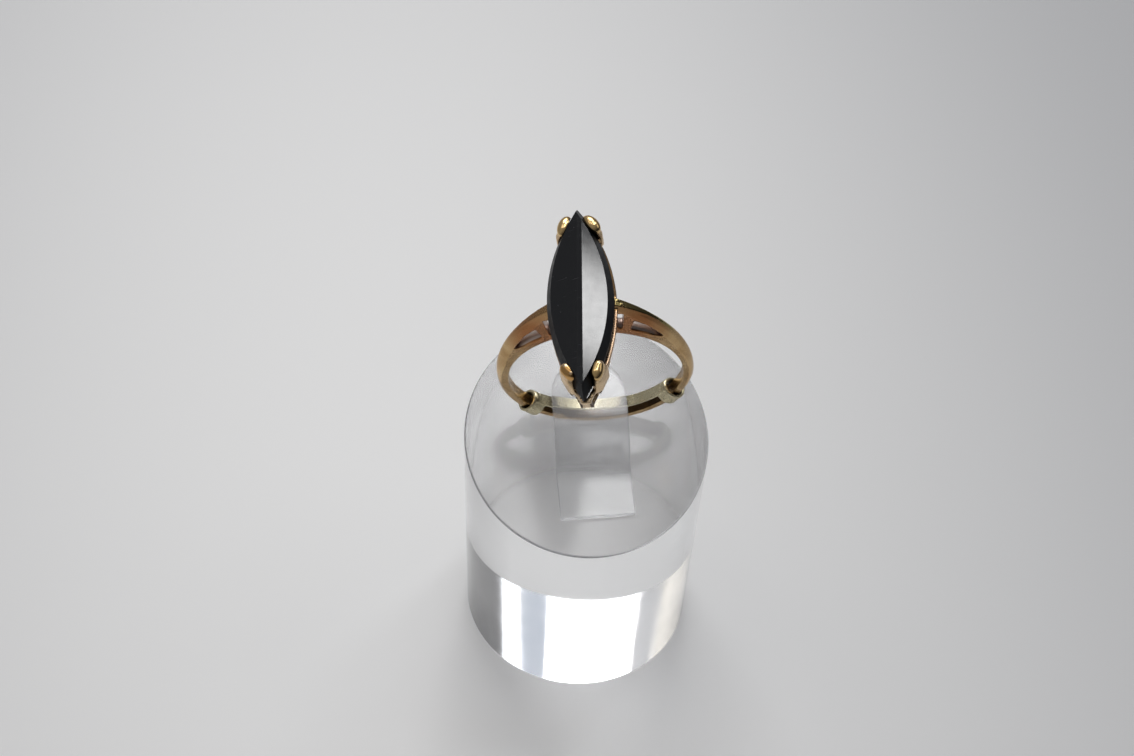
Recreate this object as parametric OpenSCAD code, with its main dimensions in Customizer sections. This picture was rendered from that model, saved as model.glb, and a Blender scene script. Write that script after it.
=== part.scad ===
/* [Stand] */
// Diameter of the clear block
stand_d = 25; // [24:0.5:30]
// Height of the block on its axis
stand_h = 28.5; // [26:0.1:40]
// Slope of the block's top face, which is higher at the back
stand_slope = 16.5; // [12:0.5:18]

/* [Clip] */
// Width of the clear strip that holds the ring down
clip_w = 7.45; // [6:0.05:7.8]
// Thickness of the strip
clip_t = 0.9; // [0.7:0.1:1]
// Distance from the block's axis forward to the strip's square front edge
clip_front = 9; // [8:0.1:9.5]
// Distance from the block's axis forward to the bend where the strip rises
clip_bend = 4.4; // [4:0.1:5]
// Distance from the block's axis back to the strip's round end
clip_back = 6.5; // [6:0.1:8]
// Sideways place of the strip on the face
clip_side = 0.18; // [0:0.02:0.5]
// Turn of the strip on the face
clip_turn = 1.5; // [0:0.5:3]

/* [Ring on the stand] */
// Sideways place of the ring's lowest point on the face
ring_side = 0.38; // [0:0.02:0.5]
// Distance from the block's axis back to the ring's lowest point
ring_back = 2; // [1.6:0.1:2.4]
// Turn of the ring on the face
ring_turn = -2.6; // [-4:0.1:0]
// Backward lean of the ring from square to the face
ring_lean = 5; // [3:0.5:6]
// Roll of the ring in its own plane, the head to the left
ring_roll = 10.1; // [8:0.1:12]

/* [Shank] */
// Inside diameter, where the finger goes
finger_d = 17; // [16.9:0.02:17.2]
// Outside diameter of the plain hoop
hoop_d = 19.1; // [19:0.02:19.3]
// Rise of the hoop's outer circle, which thins the hoop at the bottom
hoop_rise = 0.06; // [0.02:0.01:0.1]
// Width of the shank along the finger
shank_w = 1.3; // [1.2:0.05:1.4]
// Radius of the shank's crowned outer face
crown_r = 0.72; // [0.71:0.01:0.9]

/* [Shoulders] */
// Sideways distance from the ring's axis to the centre of the opposite shoulder's curve
shoulder_x = 5.6; // [5.4:0.1:5.8]
// Height of the centre of the shoulder's curve
shoulder_z = 0.2; // [0:0.1:0.4]
// Height of the sloping sides under the shoulders' narrow flat top
shoulder_slope = 0.8; // [0.7:0.05:0.9]

/* [Stone] */
// Length of the stone, point to point
stone_l = 20; // [19:0.1:20.5]
// Width of the stone across the finger
stone_w = 6.1; // [5.9:0.1:6.3]
// Height of the stone's widest line above the ring's axis
stone_z = 13.15; // [13:0.05:13.4]
// Height of the roof's ridge above the widest line
ridge_h = 1.6; // [1.5:0.05:1.8]
// Width of the narrow flat table along the ridge
table_w = 0.36; // [0.3:0.02:0.5]
// Slope of the two long roof facets
roof_slope = 12; // [10:0.5:14]
// Inward slope of the bevel round the edge, in width for each unit of height
bevel_run = 0.43; // [0.38:0.01:0.46]
// Height of the upright edge
girdle_h = 0.3; // [0.25:0.05:0.35]
// Depth of the back below the widest line
back_h = 1.35; // [1.2:0.05:1.5]

/* [Basket] */
// Turn of the stone and its basket on the shank
basket_turn = -0.5; // [-1:0.1:0]
// Sideways place of the basket's middle, right of the stone's
basket_side = 0.1; // [0:0.02:0.12]
// Height of each of the two rails
rail_h = 0.4; // [0.35:0.05:0.5]
// Thickness of the upper rail and of the end posts
rail_t = 0.45; // [0.4:0.05:0.5]
// Thickness of the lower rail
wire_t = 0.3; // [0.25:0.05:0.4]
// Drop from the stone's widest line to the top of the upper rail
upper_drop = 0.92; // [0.9:0.02:1]
// Length of the upper rail's pointed outline
upper_l = 20.8; // [20.6:0.1:21]
// Width of the upper rail
upper_w = 6.3; // [6.2:0.05:6.4]
// Drop from the stone's widest line to the top of the lower rail
lower_drop = 1.95; // [1.85:0.05:2.1]
// Length of the lower rail's outline, before its two points are cut blunt
lower_l = 21.2; // [21:0.1:21.4]
// Width of the lower rail
lower_w = 5.7; // [5.6:0.1:5.9]
// Distance along the finger from the middle to each blunt end
blunt_y = 9.65; // [9.5:0.05:9.8]
// Distance along the finger from the middle of the stone to the middle of each claw
claw_y = 7.65; // [7.4:0.05:7.8]
// Width of a claw at its head
claw_w = 1.8; // [1.6:0.05:2]
// Width of a claw's blade where it is widest
blade_w = 2.6; // [2.4:0.05:2.8]
// Thickness of a claw's blade
claw_t = 0.6; // [0.56:0.01:0.66]

/* [Ring guard] */
// Radius of the guard strip's inner face
guard_r = 8.5; // [8.4:0.1:8.6]
// Height of the centre of the guard strip's curve
guard_rise = 1.5; // [1.4:0.1:1.6]
// Width of the guard strip along the finger
guard_w = 1.15; // [1:0.05:1.2]
// Thickness of the guard's metal
guard_t = 0.3; // [0.25:0.05:0.35]
// Angle below level at which each folded sleeve holds the shank
sleeve_angle = 37; // [35:0.5:39]
// Length of a folded sleeve along the shank
sleeve_l = 1.4; // [1.2:0.1:1.6]

/* [Hidden] */
$fn = 120;

// Air left between neighbouring pieces
gap = 0.08;
// A length that reaches past everything
far = 60;

stand_r = stand_d / 2;
finger_r = finger_d / 2;
hoop_r = hoop_d / 2;
hoop_low = hoop_rise * cos(ring_roll) - hoop_r;

shoulder_r = norm([shoulder_x, shoulder_z - hoop_rise]) + hoop_r;
shoulder_foot = -2;
// The cone of the sloping sides has its centre off the curve's, so the flat top narrows away from the head
slope_shift = [-0.92, 1.09];
// How far outside the shoulder's curve the two slopes would meet
slope_reach = 0.45;
// Beyond the flat top the shoulder is rounded: drops from its curve, and shares of its half width
tail_drops = [0.3, 0.08, 0];
tail_shares = [0.65, 0.35, 0];
// Corners of the two openings sawn through a shoulder, across the finger and up
opening_inner = [[2.62, 8.41], [3.41, 8.66], [3.74, 11.25], [2.97, 11.38]];
opening_outer = [[4.12, 8.41], [5.43, 7.38], [7.04, 6.63], [6.75, 7.28], [5.68, 8.91], [4.57, 9.89]];

// Radius of the two equal arcs that meet in a pointed outline of this length and width
function arc_of(long, wide) = (pow(long, 2) + pow(wide, 2)) / (4 * wide);

arc_r = arc_of(stone_l, stone_w);
arc_x = arc_r - stone_w / 2;
claw_angle = asin(claw_y / arc_r);

upper_low = stone_z - upper_drop - rail_h;
lower_low = stone_z - lower_drop - rail_h;
// Sideways distance of the basket's inner wall from its middle
wall_x = lower_w / 2 - rail_t;
// The end post's width at its foot and its head, and how far along the finger its head's outer side lies
post_foot = 1.25;
post_head = 0.9;
post_y = 9.9;
// Turn of the heads of two opposite claws, which were pressed down askew
head_turn = 12;
// Radius of the claws' rounded outer side, seen from above
claw_round = 2.2;

guard_low = guard_r + guard_t;
// Distance of the strip's inner face from the ring's axis, where it meets a sleeve
sleeve_in = sqrt(pow(guard_r, 2) - pow(guard_rise * cos(sleeve_angle), 2)) - guard_rise * sin(sleeve_angle);
sleeve_out = hoop_r + hoop_rise + guard_t;
sleeve_side = shank_w / 2 + gap;

// Centre of the guard strip's curve on the slanted face, sideways and up
guard_at = [
    ring_side - guard_rise * sin(ring_roll),
    gap + (guard_rise * cos(ring_roll) - hoop_low) * cos(ring_lean)
];
// Sideways distance from there to the edge of the clip strip, where the guard lifts it
clip_reach = clip_w / 2 + abs(clip_side - guard_at[0]);
// Height of the clip strip's middle where its edges rest on the guard
guard_top = guard_at[1] - sqrt(pow(guard_r, 2) - pow(clip_reach, 2)) + guard_w / 2 * sin(ring_lean);
clip_over = guard_top + gap + clip_t / 2;
clip_top = [-0.1, clip_over + 0.1];

gold = [0.80, 0.60, 0.30];
pale_gold = [0.84, 0.76, 0.52];

// Puts what is drawn on the slanted face's own axes in place on the stand
module on_face() {
    translate([0, 0, stand_h]) rotate([stand_slope, 0, 0]) children();
}

// Puts the ring, drawn upright round its own axis, in place on the stand
module on_stand() {
    on_face()
        translate([ring_side, ring_back, gap])
        rotate([0, 0, ring_turn])
        rotate([-ring_lean, 0, 0])
        translate([0, 0, -hoop_low])
        rotate([0, -ring_roll, 0])
        children();
}

// A disc lying across the finger. Its rim goes through the given points, each a radius and a half width,
// from the side to the middle, and back on the other side
module turned_disc(rim) {
    rotate([90, 0, 0])
        rotate_extrude()
        polygon([
            [0, -rim[0][1]],
            each [for (point = rim) [point[0], -point[1]]],
            each [for (i = [len(rim) - 2:-1:0]) rim[i]],
            [0, rim[0][1]]
        ]);
}

// A disc lying across the finger, its rim crowned in an arc
module crowned_disc(radius) {
    step = asin(shank_w / 2 / crown_r) / 3;
    turned_disc([for (i = [3:-1:0]) [radius + crown_r * (cos(i * step) - 1), crown_r * sin(i * step)]]);
}

// A cylinder lying along the finger
module along_finger(radius, length) {
    rotate([90, 0, 0]) cylinder(r = radius, h = length, center = true);
}

// A pointed outline of two arcs, grown outwards by one amount at its foot and another at its top
module lens(long, wide, grow_low, grow_high, low, high) {
    radius = arc_of(long, wide);
    intersection_for (side = [-1, 1])
        translate([side * (radius - wide / 2), 0, low])
        cylinder(r1 = radius + grow_low, r2 = radius + grow_high, h = high - low);
}

// The stone round its widest line, with an optional layer of air all round
module stone_form(air = 0) {
    top = ridge_h + air;
    edge = stone_w;
    intersection() {
        union() {
            lens(stone_l, stone_w, air, air - bevel_run * top, 0, top);
            lens(stone_l, stone_w, air, air, -back_h - air, 0);
        }
        rotate([90, 0, 0])
            linear_extrude(far, center = true)
            polygon([
                [-edge, -back_h - air],
                [edge, -back_h - air],
                [edge, top - (edge - table_w / 2) * tan(roof_slope)],
                [table_w / 2, top],
                [-table_w / 2, top],
                [-edge, top - (edge - table_w / 2) * tan(roof_slope)]
            ]);
        back_facets(air);
    }
}

// The space inside the eight sloping facets under the stone's edge
module back_facets(air) {
    intersection_for (side = [0, 180], turn = [-25.4, -8.5, 8.5, 25.4])
        rotate([0, 0, side])
        translate([-arc_x, 0, 0])
        rotate([0, 0, turn])
        translate([arc_r + air, 0, -girdle_h])
        rotate([0, 45, 0])
        translate([-far, -far / 2, -far / 2])
        cube(far);
}

module hoop() {
    translate([0, 0, hoop_rise]) crowned_disc(hoop_r);
}

// The right shoulder, sloped to a narrow flat top and sawn through twice
module shoulder() {
    half = shank_w / 2;
    low = shoulder_r - shoulder_slope;
    difference() {
        intersection() {
            union() {
                intersection() {
                    translate([-shoulder_x, 0, shoulder_z]) along_finger(shoulder_r, 2 * shank_w);
                    translate([-shoulder_x + slope_shift[0], 0, shoulder_z + slope_shift[1]])
                        turned_disc([[low, half], [shoulder_r + slope_reach, 0]]);
                }
                translate([-shoulder_x, 0, shoulder_z])
                    turned_disc([
                        [low, half],
                        each [for (i = [0:2]) [shoulder_r - tail_drops[i], half * tail_shares[i]]]
                    ]);
            }
            translate([wall_x, -shank_w, shoulder_foot]) cube([far, 2 * shank_w, far]);
        }
        rotate([90, 0, 0])
            linear_extrude(2 * shank_w, center = true) {
                polygon(opening_inner);
                polygon(opening_outer);
            }
    }
}

// One rail of the basket, its pointed outline cut blunt at its ends
module rail(long, wide, thick, low, end_y) {
    intersection() {
        difference() {
            lens(long, wide, 0, 0, low, low + rail_h);
            lens(long, wide, -thick, -thick, low - 1, low + rail_h + 1);
        }
        translate([-far / 2, -end_y, 0]) cube([far, 2 * end_y, far]);
    }
}

// The tapered post that joins the rails at one end of the basket, narrow at its top
module tip_post() {
    tall = upper_low + rail_h - lower_low;
    lean = atan((post_y - blunt_y) / tall);
    translate([0, blunt_y, lower_low])
        rotate([-lean, 0, 0])
        rotate([90, 0, 0])
        linear_extrude(rail_t)
        polygon([[-post_foot / 2, 0], [post_foot / 2, 0], [post_head / 2, tall], [-post_head / 2, tall]]);
}

// The right far claw: a blade that leans outwards and a rounded head bent over the stone's bevel
module claw(turn) {
    foot_z = lower_low - stone_z;
    out = gap + claw_t;
    blade = [
        [-0.5, foot_z],
        [0.15, foot_z],
        [out - 0.1, -1.3],
        [out, -0.5],
        [out - 0.15, 0.3],
        [out - 0.45, 0.95],
        [-0.4, 0.95],
        [gap, 0],
        [gap, -0.5]
    ];
    translate([-arc_x, 0, stone_z])
        rotate([0, 0, claw_angle])
        translate([arc_r, 0, 0]) {
            intersection() {
                translate([out - claw_round, 0, foot_z]) cylinder(r = claw_round, h = far);
                rotate([90, 0, 0]) linear_extrude(blade_w, center = true) polygon(blade);
                rotate([90, 0, 90])
                    linear_extrude(4, center = true)
                    polygon([
                        [-0.5, foot_z],
                        [0.5, foot_z],
                        [blade_w / 2 - 0.3, -1.7],
                        [blade_w / 2, -1],
                        [blade_w / 2, -0.4],
                        [claw_w / 2, 0.5],
                        [claw_w / 2 - 0.3, 1],
                        [-claw_w / 2 + 0.3, 1],
                        [-claw_w / 2, 0.5],
                        [-blade_w / 2, -0.4],
                        [-blade_w / 2, -1],
                        [-blade_w / 2 + 0.3, -1.7]
                    ]);
            }
            translate([-0.1, 0, 0.92]) rotate([0, 0, turn]) claw_head();
        }
}

// The rounded head of a claw, a short pill lying along the stone's edge
module claw_head() {
    radius = 0.5;
    reach = claw_w / 2 - radius;
    rotate([90, 0, 0]) cylinder(r = radius, h = 2 * reach, center = true, $fn = 48);
    for (end = [-reach, reach])
        translate([0, end, 0]) sphere(r = radius, $fn = 48);
}

// A band folded round the shank, drawn for the right side and turned down to its place
module sleeve() {
    middle = (sleeve_in + sleeve_out) / 2;
    tall = sleeve_out - sleeve_in;
    wide = 2 * (sleeve_side + guard_t);
    rotate([0, sleeve_angle, 0])
        translate([middle, 0, 0])
        difference() {
            rounded_block(tall, wide, sleeve_l, 0.45);
            rounded_block(tall - 2 * guard_t, 2 * sleeve_side, 2 * sleeve_l, 0.15);
        }
}

// A block with its four long edges rounded, centred on the origin
module rounded_block(tall, wide, long, radius) {
    cube([tall - 2 * radius, wide, long], center = true);
    cube([tall, wide - 2 * radius, long], center = true);
    for (x = [-1, 1], y = [-1, 1])
        translate([x * (tall / 2 - radius), y * (wide / 2 - radius), 0])
        cylinder(r = radius, h = long, center = true, $fn = 32);
}

// One straight length of the clip strip's side view, with its rounded bends, between two points
module strip(from, to) {
    run = to - from;
    for (end = [from, to])
        translate(end) circle(r = clip_t / 2, $fn = 32);
    translate(from)
        rotate(atan2(run[1], run[0]))
        translate([0, -clip_t / 2])
        square([norm(run), clip_t]);
}

// The upright at the head's side, which joins both rails to the hoop
module side_post() {
    translate([wall_x, -shank_w / 2, finger_r]) cube([rail_t, shank_w, upper_low + rail_h - finger_r]);
}

// The two rails, their posts and the four claws
module basket() {
    rail(upper_l, upper_w, rail_t, upper_low, post_y);
    rail(lower_l, lower_w, wire_t, lower_low, blunt_y);
    for (side = [0, 1]) mirror([side, 0, 0]) side_post();
    for (end = [0, 1]) mirror([0, end, 0]) {
        tip_post();
        for (side = [0, 1]) mirror([side, 0, 0]) claw(side == end ? head_turn : 0);
    }
}

// Gold shank, pierced shoulders, basket and claws, soldered into one
module ring_mount() {
    color(gold)
        on_stand()
        difference() {
            union() {
                hoop();
                for (side = [0, 1]) mirror([side, 0, 0]) shoulder();
                rotate([0, 0, basket_turn]) translate([basket_side, 0, 0]) basket();
            }
            along_finger(finger_r, far);
            rotate([0, 0, basket_turn]) translate([0, 0, stone_z]) stone_form(gap);
        }
}

// Long pointed black stone with a roof-shaped top
module onyx() {
    color([0.05, 0.05, 0.06])
        on_stand()
        rotate([0, 0, basket_turn])
        translate([0, 0, stone_z])
        stone_form();
}

// Paler strip sprung inside the lower shank, a sleeve at each end folded round the shank
module ring_guard() {
    color(pale_gold)
        on_stand() {
            difference() {
                translate([0, 0, guard_rise]) along_finger(guard_low, guard_w);
                translate([0, 0, guard_rise]) along_finger(guard_r, 2 * guard_w);
                translate([-far / 2, -far / 2, -sin(sleeve_angle) * (sleeve_in + 0.1)]) cube(far);
            }
            for (side = [0, 1]) mirror([side, 0, 0]) sleeve();
        }
}

// Clear block with a slanted top face
module stand_block() {
    color([0.85, 0.9, 0.95, 0.5])
        difference() {
            cylinder(r = stand_r, h = stand_h + stand_r);
            on_face() translate([-far / 2, -far / 2, 0]) cube(far);
        }
}

// Clear strip laid along the face, bent up through the ring and over the guard
module clip_tongue() {
    foot = clip_t / 2 + gap;
    color([0.9, 0.95, 1, 0.5])
        on_face()
        translate([clip_side, 0, 0])
        rotate([0, 0, clip_turn])
        intersection() {
            rotate([90, 0, 90])
                linear_extrude(clip_w, center = true) {
                    strip([-clip_front - clip_t, foot], [-clip_bend, foot]);
                    strip([-clip_bend, foot], clip_top);
                    strip(clip_top, [clip_back + clip_t, clip_over]);
                }
            linear_extrude(far) {
                translate([-clip_w / 2, -clip_front]) square([clip_w, clip_front + clip_back - clip_w / 2]);
                translate([0, clip_back - clip_w / 2]) circle(r = clip_w / 2);
            }
        }
}

ring_mount();
onyx();
ring_guard();
stand_block();
clip_tongue();
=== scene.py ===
"""An onyx marquise ring on its clear display stand, dressed and lit.

Every length in a sub-assembly is in millimetres, and every angle in degrees. A piece is modelled
round its own middle, and settle() takes it to its place in the frame, in metres.
"""
from __future__ import annotations

import logging
from collections.abc import Callable
from dataclasses import dataclass, field
from enum import Enum
from math import cos, hypot, pi, radians, sin, tan

import bmesh
import bpy
from mathutils import Matrix, Vector

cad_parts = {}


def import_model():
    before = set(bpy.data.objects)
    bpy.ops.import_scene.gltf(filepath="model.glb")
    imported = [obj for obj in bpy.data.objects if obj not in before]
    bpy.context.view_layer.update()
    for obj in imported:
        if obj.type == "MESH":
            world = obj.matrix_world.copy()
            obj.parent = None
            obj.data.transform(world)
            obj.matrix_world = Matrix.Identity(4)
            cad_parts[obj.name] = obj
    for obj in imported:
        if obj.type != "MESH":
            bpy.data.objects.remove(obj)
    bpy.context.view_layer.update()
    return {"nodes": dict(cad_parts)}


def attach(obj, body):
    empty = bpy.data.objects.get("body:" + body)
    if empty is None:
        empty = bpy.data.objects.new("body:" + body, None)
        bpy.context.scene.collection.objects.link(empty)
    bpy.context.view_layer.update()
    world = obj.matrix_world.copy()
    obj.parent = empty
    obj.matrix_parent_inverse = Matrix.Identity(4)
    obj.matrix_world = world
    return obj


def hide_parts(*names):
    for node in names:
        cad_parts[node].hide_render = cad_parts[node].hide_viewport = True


LOG = logging.getLogger("onyx_ring")

MM = 0.001
BODY = "root"

# Points nearer than TOUCH are one, and directions whose dot product is over ALIGNED are the same
TOUCH = 1e-3
ALIGNED = 0.999
UP = Vector((0, 0, 1))
PEBBLE_SIDES = 40
PEBBLE_RINGS = 24
SOFTNESS = 0.5

# A colour has no alpha here: Graph.feed() adds it
Pair = tuple[float, float]
Triple = tuple[float, float, float]
Colour = tuple[float, float, float]
Piece = bpy.types.Object
Material = bpy.types.Material
Tree = bpy.types.NodeTree
Node = bpy.types.Node
Socket = bpy.types.NodeSocket


class Axis(Enum):
    """The axis that a piece or a turn follows."""

    X = "X"
    Y = "Y"
    Z = "Z"


def hold(piece: Piece) -> None:
    """Makes a piece the active one and the only one selected.

    Args:
        piece: The piece.
    """
    bpy.ops.object.select_all(action="DESELECT")
    piece.select_set(True)
    bpy.context.view_layer.objects.active = piece


def named(name: str) -> Piece:
    """Names the primitive that was just added.

    Args:
        name: The piece's name.

    Returns:
        The new piece.
    """
    piece = bpy.context.object
    piece.name = piece.data.name = name
    return piece


def enter(piece: Piece) -> None:
    """Starts editing a piece's mesh, with all of it selected.

    Args:
        piece: The piece.
    """
    hold(piece)
    bpy.ops.object.mode_set(mode="EDIT")
    bpy.ops.mesh.select_all(action="SELECT")


def leave() -> None:
    """Ends the editing of a mesh."""
    bpy.ops.object.mode_set(mode="OBJECT")


def pick(kind: str, wanted: Callable[[Vector, Vector], bool]) -> None:
    """Selects the faces or the edges of the edited mesh that pass a test.

    Args:
        kind: FACE or EDGE.
        wanted: Takes a face's centre and normal, or the places of an edge's two ends.
    """
    bpy.ops.mesh.select_mode(type=kind)
    bpy.ops.mesh.select_all(action="DESELECT")
    mesh = bpy.context.object.data
    edit = bmesh.from_edit_mesh(mesh)
    for face in edit.faces if kind == "FACE" else ():
        face.select_set(wanted(face.calc_center_median(), face.normal))
    for edge in edit.edges if kind == "EDGE" else ():
        edge.select_set(wanted(edge.verts[0].co, edge.verts[1].co))
    bmesh.update_edit_mesh(mesh)


def cut(point: Vector, outward: Vector) -> None:
    """Cuts away what lies outside a plane from the edited mesh, and closes the cut."""
    bpy.ops.mesh.select_all(action="SELECT")
    bpy.ops.mesh.bisect(plane_co=point, plane_no=outward, use_fill=True, clear_outer=True)


def draw_out(way: Triple | Vector) -> None:
    """Draws the picked edges or faces out along a way."""
    bpy.ops.mesh.extrude_region_move(TRANSFORM_OT_translate={"value": way})


def tidy(merge: float) -> None:
    """Merges doubled points of the edited mesh and turns its faces outwards.

    Args:
        merge: The distance under which points are one.
    """
    bpy.ops.mesh.select_all(action="SELECT")
    bpy.ops.mesh.remove_doubles(threshold=merge)
    bpy.ops.mesh.normals_make_consistent(inside=False)


def modify(piece: Piece, kind: str, **values: object) -> None:
    """Adds a modifier to a piece and applies it.

    Args:
        piece: The piece.
        kind: The modifier's type.
        values: The modifier's settings.
    """
    hold(piece)
    modifier = piece.modifiers.new(kind.lower(), kind)
    for key, value in values.items():
        setattr(modifier, key, value)
    bpy.ops.object.modifier_apply(modifier=modifier.name)


def combine(piece: Piece, other: Piece, how: str) -> None:
    """Joins, cuts or intersects a piece with another one, which is used up."""
    modify(piece, "BOOLEAN", object=other, operation=how, solver="EXACT")
    bpy.data.objects.remove(other)


def pebble(name: str, matrix: Matrix, half: Triple) -> Piece:
    """Models a smooth pebble, given half of its sizes, which later melts into the metal round it."""
    bpy.ops.mesh.primitive_uv_sphere_add(segments=PEBBLE_SIDES, ring_count=PEBBLE_RINGS, radius=1.0)
    return move(named(name), matrix @ Matrix.Diagonal((*half, 1.0)))


def melt(piece: Piece, voxel: float, steps: int) -> None:
    """Melts a piece's overlapping parts into one worn surface, and softens it."""
    modify(piece, "REMESH", mode="VOXEL", voxel_size=voxel)
    modify(piece, "SMOOTH", factor=SOFTNESS, iterations=steps)


def soften(piece: Piece, steps: int, wanted: Callable[[Vector], bool]) -> None:
    """Softens a part of a piece further.

    Args:
        piece: The piece.
        steps: How often.
        wanted: Takes a point and tells whether it is softened.
    """
    group = piece.vertex_groups.new(name="soft")
    group.add([v.index for v in piece.data.vertices if wanted(v.co)], 1.0, "REPLACE")
    modify(piece, "SMOOTH", factor=SOFTNESS, iterations=steps, vertex_group=group.name)
    piece.vertex_groups.clear()


def thicken(piece: Piece, thick: float) -> None:
    """Gives a sheet its thickness, half of it on each side."""
    modify(piece, "SOLIDIFY", thickness=thick, offset=0.0, use_even_offset=True)


def round_edges(piece: Piece, width: float, steps: int, least: float) -> None:
    """Rounds the edges whose faces turn by more than an angle."""
    modify(piece, "BEVEL", width=width, segments=steps, limit_method="ANGLE", angle_limit=radians(least))


def join(pieces: list[Piece]) -> Piece:
    """Puts several pieces in one mesh.

    Args:
        pieces: The pieces, the first of which stays.

    Returns:
        The first piece.
    """
    hold(pieces[0])
    for other in pieces[1:]:
        other.select_set(True)
    bpy.ops.object.join()
    return pieces[0]


def move(piece: Piece, matrix: Matrix) -> Piece:
    """Moves a piece's mesh and leaves its object at the origin.

    Args:
        piece: The piece.
        matrix: The move.

    Returns:
        The same piece.
    """
    hold(piece)
    piece.matrix_world = matrix @ piece.matrix_world
    bpy.ops.object.transform_apply(location=True, rotation=True, scale=True)
    return piece


def settle(piece: Piece, place: Matrix) -> Piece:
    """Takes a piece drawn in millimetres to its place in the frame, and returns it."""
    return move(piece, Matrix.Scale(MM, 4) @ place)


def copy_node(node: Piece, name: str) -> Piece:
    """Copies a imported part, joins its loose triangles and gives it millimetres.

    Args:
        node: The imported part, which stays as it is.
        name: The copy's name.

    Returns:
        The copy, free of the part's body.
    """
    piece = bpy.data.objects.new(name, node.data.copy())
    piece.data.name = name
    piece.data.materials.clear()
    bpy.context.scene.collection.objects.link(piece)
    move(piece, Matrix.Scale(1 / MM, 4))
    enter(piece)
    tidy(TOUCH)
    leave()
    return piece


def smooth(piece: Piece, angle: float) -> None:
    """Shades a piece smooth where its faces meet under an angle, and keeps its large faces flat.

    Args:
        piece: The piece.
        angle: The angle.
    """
    hold(piece)
    bpy.ops.object.shade_smooth_by_angle(angle=radians(angle))
    modify(piece, "WEIGHTED_NORMAL", weight=100, keep_sharp=True)


def turn(angle: float, axis: Axis) -> Matrix:
    """Returns a turn round one axis, from an angle in degrees."""
    return Matrix.Rotation(radians(angle), 4, axis.value)


def shift(x: float, y: float, z: float) -> Matrix:
    """Returns a move."""
    return Matrix.Translation((x, y, z))


def within(value: float, span: Pair) -> bool:
    """Tells whether a value lies inside a span."""
    return span[0] < value < span[1]


@dataclass(frozen=True)
class Places:
    """Where the stand's face, the ring and its head lie in the frame."""

    block_high: float = 28.5
    slope: float = 16.5
    ring_side: float = 0.38
    ring_back: float = 2.0
    ring_turn: float = -2.6
    ring_lean: float = 5.0
    ring_roll: float = 10.1
    hoop_radius: float = 9.55
    hoop_rise: float = 0.06
    gap: float = 0.08
    head_turn: float = -0.5
    clip_side: float = 0.18
    clip_turn: float = 1.5

    @property
    def face(self) -> Matrix:
        """The slanted face, Z square to it."""
        return shift(0, 0, self.block_high) @ turn(self.slope, Axis.X)

    @property
    def ring(self) -> Matrix:
        """The ring's axis, Y along the finger and Z towards the head."""
        low = self.hoop_rise * cos(radians(self.ring_roll)) - self.hoop_radius
        foot = self.face @ shift(self.ring_side, self.ring_back, self.gap)
        stood = foot @ turn(self.ring_turn, Axis.Z) @ turn(-self.ring_lean, Axis.X)
        return stood @ shift(0, 0, -low) @ turn(-self.ring_roll, Axis.Y)

    @property
    def head(self) -> Matrix:
        """The ring's axis, turned as the stone and its basket are."""
        return self.ring @ turn(self.head_turn, Axis.Z)

    @property
    def clip(self) -> Matrix:
        """The slanted face, turned as the clear strip is."""
        return self.face @ shift(self.clip_side, 0, 0) @ turn(self.clip_turn, Axis.Z)


class Graph:
    """A material's or a node group's nodes, placed and linked by name."""

    def __init__(self, tree: Tree) -> None:
        """Takes the node tree that is filled."""
        self.tree = tree

    def feed(self, socket: Socket, value: object) -> None:
        """Links an output to an input, or sets the input's value.

        Args:
            socket: The input.
            value: The output, a number, a place or a colour.
        """
        if isinstance(value, Socket):
            self.tree.links.new(value, socket)
        elif socket.type == "RGBA":
            socket.default_value = (*value, 1.0)
        else:
            socket.default_value = value

    def fill(self, node: Node, **values: object) -> None:
        """Sets a node's properties, and feeds its inputs.

        Args:
            node: The node.
            values: What each property or input gets, with underscores for the spaces of a name.
        """
        for key, value in values.items():
            if hasattr(node, key):
                setattr(node, key, value)
            else:
                self.feed(node.inputs[key.replace("_", " ")], value)

    def add(self, kind: str, feeds: dict[int, object] | None = None, **values: object) -> Node:
        """Adds a node.

        Args:
            kind: The node's type, without the ShaderNode that all of them begin with.
            feeds: What its inputs get by number, where several have one name.
            values: What its properties and its inputs get by name.

        Returns:
            The node.
        """
        node = self.tree.nodes.new("ShaderNode" + kind)
        self.fill(node, **values)
        for number, value in (feeds or {}).items():
            self.feed(node.inputs[number], value)
        return node

    def mix(self, mask: Socket, low: Socket | Colour, high: Socket | Colour) -> Socket:
        """Mixes two colours by a mask, which is the share of the second one."""
        return self.add("Mix", {0: mask, 6: low, 7: high}, data_type="RGBA").outputs[2]

    def span(self, value: Socket, low: float, high: float, start: float = 0.0, end: float = 1.0) -> Socket:
        """Stretches one range of a value over another, and keeps it inside."""
        ends = {"From_Min": low, "From_Max": high, "To_Min": start, "To_Max": end}
        return self.add("MapRange", Value=value, **ends).outputs["Result"]

    def noise(self, place: Socket, scale: float, detail: float) -> Socket:
        """Returns soft noise over a place."""
        return self.add("TexNoise", Vector=place, Scale=scale, Detail=detail).outputs["Fac"]

    def measure(self, place: Socket, operation: str, other: Triple) -> Socket:
        """Measures a place against a point (DISTANCE) or along a direction (DOT_PRODUCT)."""
        return self.add("VectorMath", {0: place, 1: other}, operation=operation).outputs["Value"]


def start_group(name: str, outputs: dict[str, str]) -> tuple[Graph, Node]:
    """Makes an empty node group.

    Args:
        name: The group's name.
        outputs: The kind of each output by its name, Vector or Float.

    Returns:
        The group's graph and its output node.
    """
    tree = bpy.data.node_groups.new(name, "ShaderNodeTree")
    for key, kind in outputs.items():
        tree.interface.new_socket(name=key, in_out="OUTPUT", socket_type="NodeSocket" + kind)
    graph = Graph(tree)
    return graph, tree.nodes.new("NodeGroupOutput")


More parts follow.
